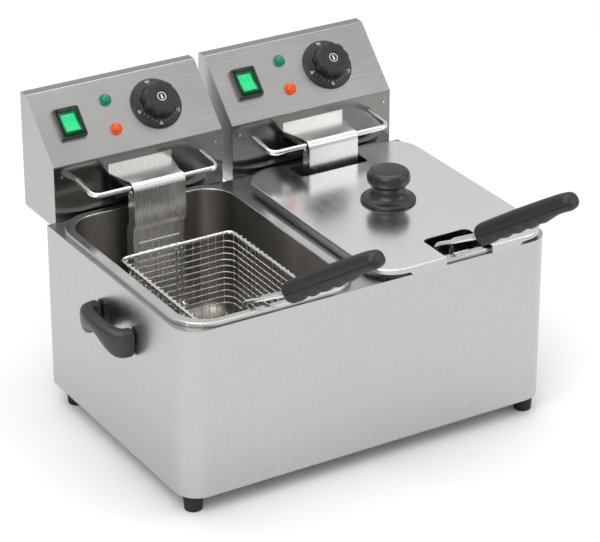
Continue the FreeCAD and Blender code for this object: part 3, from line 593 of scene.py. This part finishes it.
def make_basket(side):
    """Wire mesh bucket: closed rings inside, U-shaped wires outside, hooked over the frame."""
    low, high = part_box("basket_mesh_" + side)
    rail_low, rail_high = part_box("basket_frame_" + side)
    rail_z = (rail_low.z + rail_high.z) / 2
    centre = Vector(((low.x + high.x) / 2, (low.y + high.y) / 2, 0))
    half_x = (high.x - low.x) / 2
    half_y = (high.y - low.y) / 2
    mesh = Shape()
    shift = UPRIGHT_WIRE_R * 2 + RING_WIRE_R
    count = int((high.z - low.z - MESH_FLOOR_R) / RING_PITCH)
    for row in range(count):
        z = high.z - RING_PITCH * (row + 0.9)
        x = half_x - shift
        y = half_y - shift
        corners = [(-x, -y, z), (x, -y, z), (x, y, z), (-x, y, z)]
        path = rounded_path(corners, MESH_CORNER_R - shift, 6, closed=True)
        mesh.tube([p + centre for p in path], RING_WIRE_R, 6, closed=True)
    for along_x, half_a, half_b in ((True, half_x, half_y), (False, half_y, half_x)):
        wires = round(2 * half_b / UPRIGHT_PITCH) - 1
        drop = UPRIGHT_WIRE_R * (1 if along_x else 3)
        for k in range(wires):
            at = (k - (wires - 1) / 2) * 2 * half_b / (wires + 1)
            edge = half_a - UPRIGHT_WIRE_R - wall_inset(at, half_b)
            wire = hooked_upright(edge, low.z, rail_z, at, along_x, drop)
            mesh.tube([p + centre for p in wire], UPRIGHT_WIRE_R, 6)
    mesh.make("wire_basket_" + side, MESH_WIRE, "basket_" + side,
              ["basket_mesh_" + side])
    make_basket_fittings(side, low, high, rail_low.y, rail_z)


def make_basket_fittings(side, low, high, rail_y, rail_z):
    """Double stiffener on the rear wall with its hook, and weld beads at the stem wires."""
    fittings = Shape()
    middle = (low.x + high.x) / 2
    wall = high.y - UPRIGHT_WIRE_R * 2 - RING_WIRE_R * 3
    foot = low.z + 14 * MM
    for offset in (-STIFFENER_HALF, STIFFENER_HALF):
        x = middle + offset
        path = [(x, wall, rail_z - 1 * MM), (x, wall, foot + 16 * MM),
                (x, wall - 9 * MM, foot + 16 * MM), (x, wall - 9 * MM, foot + 25 * MM)]
        fittings.tube(rounded_path(path, 3 * MM, 5), STIFFENER_WIRE_R, 8)
    stem_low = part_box("handle_stem_" + side)[0]
    beads = ((rail_z, rail_y + 0.6 * MM, 3.1 * MM),
             (stem_low.z + 6 * MM, low.y + 0.4 * MM, 2.2 * MM),
             (stem_low.z + 24 * MM, low.y + 0.4 * MM, 2.2 * MM))
    for x in (stem_low.x + 2.3 * MM, stem_low.x + 21.3 * MM):
        for z, y, size in beads:
            bead = [(0.05 * size, -size), (0.6 * size, -0.8 * size), (size, 0),
                    (0.6 * size, 0.8 * size), (0.05 * size, size)]
            place = Matrix.Translation((x, y, z)) @ Matrix.Rotation(math.pi / 2, 4, "Y")
            fittings.lathe(smooth_profile(bead, 3), 14, place)
    fittings.make("basket_fittings_" + side, CHROME, "basket_" + side)


def section_point(angle, width, height, square):
    """Point of a rounded section, squarer as the power grows."""
    c = math.cos(angle)
    s = math.sin(angle)
    return (width * math.copysign(abs(c) ** (2 / square), c),
            height * math.copysign(abs(s) ** (2 / square), s))


def ease(value):
    """Smooth step from 0 to 1."""
    value = min(1.0, max(0.0, value))
    return value * value * (3 - 2 * value)


def rounding(share):
    """Quarter circle from 0 at the very end to 1 where the rounding is over."""
    return math.sqrt(max(0.0, 1 - (1 - min(1.0, share)) ** 2))


def make_grip(side):
    """Moulded grip: arched back, finger dents underneath, and a mould seam on both flanks."""
    rail_low, rail_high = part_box("basket_frame_" + side)
    centre_x = (rail_low.x + rail_high.x) / 2
    rail_z = (rail_low.z + rail_high.z) / 2
    root = Vector((centre_x, FRONT_Y, rail_z)) + GRIP_ROOT
    along = Vector((math.sin(GRIP_SWING) * math.cos(GRIP_RISE),
                    -math.cos(GRIP_SWING) * math.cos(GRIP_RISE), math.sin(GRIP_RISE)))
    across = along.cross(Vector((0, 0, 1))).normalized()
    over = across.cross(along).normalized()
    angles = []
    for k in range(GRIP_SIDES):
        angles.append(2 * math.pi * (k + 0.5) / GRIP_SIDES)
    for seam in (0.0, math.pi):
        angles += [(seam + step) % (2 * math.pi) for step in (-SEAM_HALF, 0.0, SEAM_HALF)]
    angles.sort()
    rings = []
    for row in range(GRIP_ROWS + 1):
        share = row / GRIP_ROWS
        t = (1 - math.cos(math.pi * share)) / 2
        reach = t * GRIP_L
        round_root = rounding(reach / GRIP_ROOT_ROUND)
        round_tip = rounding((GRIP_L - reach) / GRIP_TIP_ROUND)
        end = min(0.35 + 0.65 * round_root, 0.30 + 0.70 * round_tip)
        if row in (0, GRIP_ROWS):
            end *= 0.6
        width = (11.0 + 1.2 * ease(t * 2) - 0.8 * ease((t - 0.8) * 4)) * MM * end
        back = (11.2 + 1.2 * math.sin(math.pi * t) - 1.6 * ease((t - 0.86) * 7)) * MM * end
        belly = (12.0 - 4.6 * ease((t - 0.60) * 4) + 1.0 * ease((t - 0.86) * 7)) * MM * end
        centre = root + along * reach
        finger = (reach - FIRST_FINGER + FINGER_PITCH / 2) / FINGER_PITCH
        dent = 0.0
        if 0 < finger < FINGERS:
            dent = FINGER_DENT * math.sin(math.pi * (finger % 1)) ** 1.6
        ring = []
        for angle in angles:
            tall = back if math.sin(angle) > 0 else belly
            x, z = section_point(angle, width, tall, GRIP_SQUARENESS)
            under = ease(-math.sin(angle) * 1.5)
            z += dent * under
            x *= 1 - 0.08 * (dent / FINGER_DENT) * under
            gap = min(abs(angle), abs(angle - math.pi), abs(angle - 2 * math.pi))
            if gap < SEAM_HALF / 2:
                x -= math.copysign(SEAM_DEPTH, x) * min(1.0, end)
            ring.append(centre + across * x + over * z)
        rings.append(ring)
    grip = Shape()
    grip.skin(rings)
    grip.make("moulded_grip_" + side, GRIP, "basket_" + side,
              ["handle_grip_" + side], sharp=60)


# Thermostat dials and switch marks

def panel_place(joint_name):
    """Frame on the panel at a joint: local X to the right, Y up the slope, Z outward."""
    joint = JOINTS[joint_name]
    out = -Vector(joint["axis"]).normalized()
    right = Vector((1, 0, 0))
    up = out.cross(right)
    turn = Matrix((right, up, out)).transposed().to_4x4()
    return Matrix.Translation(Vector(joint["pos_m"])) @ turn


def make_knob(side):
    """Lobed thermostat knob with a domed face and a recessed emblem ring."""
    place = panel_place("knob_%s_turn" % side)

    def lobes(r, z, angle):
        height = ease((z - KNOB_BASE) / (2 * MM) + 0.2)
        face = ease((r - 14 * MM) / (5 * MM))
        wave = (0.5 - 0.5 * math.cos(KNOB_LOBES * angle)) ** 2.0
        return r - LOBE_DEPTH * wave * height * face

    rim = KNOB_R
    profile = [(0.1 * MM, KNOB_BASE), (rim - 1.2 * MM, KNOB_BASE),
               (rim - 0.2 * MM, KNOB_BASE + 0.8 * MM), (rim, KNOB_BASE + 3 * MM),
               (rim - 0.2 * MM, KNOB_H - 4 * MM), (rim - 0.6 * MM, KNOB_H - 1.8 * MM),
               (rim - 2.0 * MM, KNOB_H - 0.5 * MM), (rim - 5 * MM, KNOB_H - 0.1 * MM),
               (10 * MM, KNOB_H), (7.5 * MM, KNOB_H - 0.1 * MM), (6.9 * MM, KNOB_H - 0.6 * MM),
               (0.1 * MM, KNOB_H - 0.6 * MM)]
    knob = Shape()
    knob.lathe(smooth_profile(profile, 4), 216, place, lobes)
    spindle = [(0.1 * MM, SPINDLE_FOOT), (SPINDLE_R, SPINDLE_FOOT),
               (SPINDLE_R, KNOB_BASE + 1 * MM), (0.1 * MM, KNOB_BASE + 1 * MM)]
    knob.lathe(spindle, 32, place)
    knob.make("lobed_knob_" + side, KNOB, "knob_" + side, ["knob_" + side])


def flat_text(shape, words, size, place, thick=0.15 * MM):
    """Adds lettering as a thin mesh, centred on the place."""
    curve = bpy.data.curves.new("lettering", "FONT")
    curve.body = words
    curve.size = size
    curve.align_x = "CENTER"
    curve.align_y = "CENTER"
    curve.extrude = thick
    holder = bpy.data.objects.new("lettering", curve)
    bpy.context.scene.collection.objects.link(holder)
    bpy.context.view_layer.update()
    mesh = bpy.data.meshes.new_from_object(holder)
    points = [place @ v.co for v in mesh.vertices]
    shape.add(points, [tuple(p.vertices) for p in mesh.polygons])
    bpy.data.objects.remove(holder)
    bpy.data.meshes.remove(mesh)
    bpy.data.curves.remove(curve)


def make_scale(side):
    """White scale on the skirt, and a plain ring and pointer on the knob's face."""
    place = panel_place("knob_%s_turn" % side)
    scale = Shape()
    steps = SCALE_DOTS * (len(SCALE_NUMBERS) - 1)
    for k in range(steps + 1):
        angle = math.radians(SCALE_START + SCALE_SWEEP * k / steps)
        radial = place @ Matrix.Rotation(angle, 4, "Z")
        big = k % SCALE_DOTS == 0
        size = 0.55 * MM if big else 0.4 * MM
        scale.lathe([(0.02 * MM, -0.3 * MM), (size, -0.3 * MM), (size, 0.12 * MM),
                     (0.02 * MM, 0.12 * MM)], 10, radial @ Matrix.Translation(DOT_AT))
        if big:
            spot = radial @ Matrix.Translation(NUMBER_AT)
            spot = spot @ Matrix.Rotation(SKIRT_SLOPE, 4, "Y")
            spot = spot @ Matrix.Rotation(math.pi / 2, 4, "Z")
            flat_text(scale, SCALE_NUMBERS[k // SCALE_DOTS], NUMBER_SIZE, spot)
    face = place @ Matrix.Translation((0, 0, KNOB_H - 0.5 * MM))
    ring = [Vector((EMBLEM_R * math.cos(a), EMBLEM_R * math.sin(a), 0))
            for a in [2 * math.pi * k / 40 for k in range(40)]]
    scale.tube([face @ p for p in ring], 0.42 * MM, 8, closed=True)
    drop = [(0, 2.9 * MM), (0.75 * MM, 1.9 * MM), (0.6 * MM, -0.4 * MM), (1.2 * MM, -1.5 * MM),
            (0.75 * MM, -2.6 * MM), (-0.75 * MM, -2.6 * MM), (-1.2 * MM, -1.5 * MM),
            (-0.6 * MM, -0.4 * MM), (-0.75 * MM, 1.9 * MM)]
    scale.prism(drop[::-1], -0.3 * MM, 0.25 * MM, face)
    scale.make("dial_scale_" + side, MARK, "knob_" + side, sharp=30)


def make_switch_marks(side):
    """On and off marks on the rocker's two halves."""
    joint = JOINTS["rocker_%s_tilt" % side]
    panel = panel_place("knob_%s_turn" % side)
    panel.translation = Vector(joint["pos_m"])
    tilt = panel @ Matrix.Rotation(ROCKER_REST_TILT, 4, "X")
    marks = Shape()
    for half, sign in (("off", 1), ("on", -1)):
        spot = tilt @ Matrix.Translation((0, sign * ROCKER_MARK_AT, ROCKER_MARK_RISE))
        spot = spot @ Matrix.Rotation(sign * ROCKER_LEAN, 4, "X")
        if half == "off":
            ring = [Vector((1.5 * MM * math.cos(a), 1.9 * MM * math.sin(a), 0))
                    for a in [2 * math.pi * k / 28 for k in range(28)]]
            marks.tube([spot @ p for p in ring], 0.3 * MM, 6, closed=True)
        else:
            marks.tube([spot @ Vector((0, y * MM, 0)) for y in (-2.2, -1.1, 0, 1.1, 2.2)],
                       0.35 * MM, 6)
    marks.make("rocker_marks_" + side, ROCKER_MARK, "rocker_" + side)


# Lid knob, side handles and screws

def make_lid_knob():
    """Turned mushroom knob with a waist, a soft crown and a flared foot."""
    low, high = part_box("lid_knob")
    base = Vector(((low.x + high.x) / 2, (low.y + high.y) / 2, low.z))
    profile = [(2.3, 0), (28.5, 0), (30.4, 0.7), (30.8, 2.2), (29.6, 3.6), (25.5, 5.2),
               (21.6, 8.0), (19.4, 12.0), (18.9, 16.0), (19.7, 19.6), (20.6, 20.6), (23.0, 22.4),
               (24.2, 25.4), (24.0, 30.2), (22.6, 34.0), (19.5, 36.3), (14.0, 37.4), (7.0, 37.9),
               (2.3, LID_KNOB_DRAWN_H)]
    size = (high.z - low.z) / LID_KNOB_DRAWN_H
    curve = smooth_profile([(r * size, z * size) for r, z in profile], 4)
    knob = Shape()
    knob.lathe(curve, 96, Matrix.Translation(base))
    knob.make("turned_lid_knob", LID_KNOB, "lid", ["lid_knob"], sharp=50)


def make_side_handle(side):
    """Carrying handle: a bar that sweeps out from the wall and back, deeper at its ends."""
    low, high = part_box("side_handle_" + side)
    out = -1 if side == "left" else 1
    wall = high.x if side == "left" else low.x
    reach = high.x - low.x
    middle = (low.y + high.y) / 2
    half = (high.y - low.y) / 2
    tall = high.z - low.z
    bar = HANDLE_BAR
    path = []
    for row in range(HANDLE_ROWS + 1):
        turn = math.pi * (row / HANDLE_ROWS - 0.5)
        y = (half - bar / 2) * math.copysign(abs(math.sin(turn)) ** 0.85, math.sin(turn))
        x = (reach - bar / 2 - 0.6 * MM) * max(0.0, math.cos(turn)) ** 0.55
        path.append(Vector((x, y)))
    rings = []
    for row, spot in enumerate(path):
        before = path[max(0, row - 1)]
        after = path[min(HANDLE_ROWS, row + 1)]
        heading = (after - before).normalized()
        normal = Vector((heading.y, -heading.x))
        share = abs(spot.y) / half
        top = tall - 3.2 * MM * share ** 2
        bottom = (tall - 17 * MM) * (1 - ease(share * 1.25)) + 0.6 * MM
        section = [(-0.5, top - 3.5 * MM), (-0.42, top - 1.2 * MM), (-0.26, top),
                   (0.10, top), (0.34, top - 1.0 * MM), (0.47, top - 3.6 * MM),
                   (0.5, top - 8 * MM), (0.44, bottom + (top - bottom) * 0.30),
                   (0.22, bottom + 0.8 * MM), (-0.1, bottom), (-0.4, bottom + 0.6 * MM),
                   (-0.5, bottom + 2.4 * MM)]
        ring = []
        for across, z in section:
            flat = spot + normal * across * bar
            ring.append(Vector((wall + out * max(0.05 * MM, flat.x), middle + flat.y, low.z + z)))
        rings.append(ring if out > 0 else ring[::-1])
    handle = Shape()
    handle.skin(rings)
    piece = handle.make("carry_handle_" + side, LIT_HANDLE, "casing",
                        ["side_handle_" + side], sharp=75)
    piece.modifiers.new("round", "SUBSURF").levels = 2
    piece.modifiers["round"].render_levels = 2


def cross_screw(shape, head_at, outward, head_r, head_h, shank_r, shank_l):
    """Pan-head screw with a cross recess."""
    place = Matrix.Translation(head_at) @ outward.to_track_quat("Z", "Y").to_matrix().to_4x4()
    circle = []
    for k in range(SCREW_STEPS):
        angle = 2 * math.pi * k / SCREW_STEPS
        circle.append((math.cos(angle), math.sin(angle)))
    rows = [(1.0, 0.0), (0.99, 0.35), (0.92, 0.72), (0.78, 0.93), (0.62, 1.0), (0.56, 1.0),
            (0.5, 1.0), (0.4, 1.0), (0.3, 1.0), (0.2, 1.0), (0.1, 1.0), (0.01, 1.0)]
    rings = [[place @ Vector((shank_r * c, shank_r * s, z)) for c, s in circle]
             for z in (-shank_l, 0.0)]
    for share, level in rows:
        ring = []
        for c, s in circle:
            x = share * c
            y = share * s
            z = level
            if share < 0.6 and min(abs(x), abs(y)) < SCREW_CROSS:
                z -= 0.75
            ring.append(place @ Vector((x * head_r, y * head_r, z * head_h)))
        rings.append(ring)
    shape.skin(rings)


def make_screws(node, body):
    """Replaces a node's plain screws with ones that have a cross recess.

    Screws at the back face backwards; the two in a head's lower front face look forward.
    """
    screws = Shape()
    for low, high in islands(node):
        size = high - low
        backward = low.y > SHELL_HI.y - 10 * MM
        outward = Vector((0, 1 if backward else -1, 0))
        head_r = (size.z + size.x) / 4
        head_h = min(head_r * 0.5, 1.6 * MM)
        seat = (low + high) / 2
        seat.y = (high.y if backward else low.y) - outward.y * head_h
        cross_screw(screws, seat, outward, head_r, head_h, head_r * 0.53, size.y - head_h)
    screws.make("cross_" + node, SCREW, body, [node], sharp=35)


# Studio

def make_camera():
    """Camera that looks at the fryer from its front left, a little from above."""
    azimuth = math.radians(CAMERA_AZIMUTH)
    elevation = math.radians(CAMERA_ELEVATION)
    back = Vector((-math.sin(azimuth) * math.cos(elevation),
                   -math.cos(azimuth) * math.cos(elevation), math.sin(elevation)))
    data = bpy.data.cameras.new("camera")
    data.lens = CAMERA_LENS
    data.sensor_width = 36.0
    data.clip_end = 100.0
    camera = bpy.data.objects.new("camera", data)
    camera.location = CAMERA_TARGET + back * CAMERA_DISTANCE
    camera.rotation_euler = (-back).to_track_quat("-Z", "Y").to_euler()
    bpy.context.scene.collection.objects.link(camera)
    bpy.context.scene.camera = camera


def soft_box(name, place, aim, size, power):
    """White rectangular light turned towards a point."""
    data = bpy.data.lights.new(name, "AREA")
    data.shape = "RECTANGLE"
    data.size, data.size_y = size
    data.energy = power
    light = bpy.data.objects.new(name, data)
    light.location = place
    light.rotation_euler = (Vector(aim) - Vector(place)).to_track_quat("-Z", "Y").to_euler()
    bpy.context.scene.collection.objects.link(light)


def make_studio():
    """White floor, soft boxes and a sky that is a little darker low at the back."""
    floor = bpy.data.meshes.new("floor")
    reach = FLOOR_REACH
    floor.from_pydata([(-reach, -reach, 0), (reach, -reach, 0), (reach, reach, 0),
                       (-reach, reach, 0)], [], [(0, 1, 2, 3)])
    paint = Paint("floor_white", Roughness=0.9)
    tone = paint.noise(0.6, 2.0)
    paint.to("Base Color", paint.blend(tone, (0.86, 0.86, 0.86, 1), (0.89, 0.89, 0.89, 1)))
    floor.materials.append(paint.material)
    stage = bpy.data.objects.new("floor", floor)
    bpy.context.scene.collection.objects.link(stage)
    world = bpy.data.worlds.new("studio")
    bpy.context.scene.world = world
    world.use_nodes = True
    tree = world.node_tree
    place = tree.nodes.new("ShaderNodeTexCoord")
    split = tree.nodes.new("ShaderNodeSeparateXYZ")
    ramp = tree.nodes.new("ShaderNodeValToRGB")
    tree.links.new(place.outputs["Generated"], split.inputs[0])
    tree.links.new(split.outputs[2], ramp.inputs[0])
    tree.links.new(ramp.outputs[0], tree.nodes["Background"].inputs[0])
    while len(ramp.color_ramp.elements) < len(SKY_STOPS):
        ramp.color_ramp.elements.new(0.5)
    for element, (position, level) in zip(ramp.color_ramp.elements, SKY_STOPS):
        element.position = position
        element.color = (level, level, level * 1.01, 1)
    tree.nodes["Background"].inputs[1].default_value = SKY_STRENGTH
    for box in SOFT_BOXES:
        soft_box(*box)
    bpy.context.scene.view_settings.view_transform = "Standard"


make_camera()
make_studio()
dress_cad_nodes()
for side in SIDES:
    make_basket(side)
    make_grip(side)
    make_knob(side)
    make_scale(side)
    make_switch_marks(side)
    make_side_handle(side)
    make_screws("head_screws_" + side, "head_" + side)
make_screws("rear_panel_screws", "casing")
make_lid_knob()
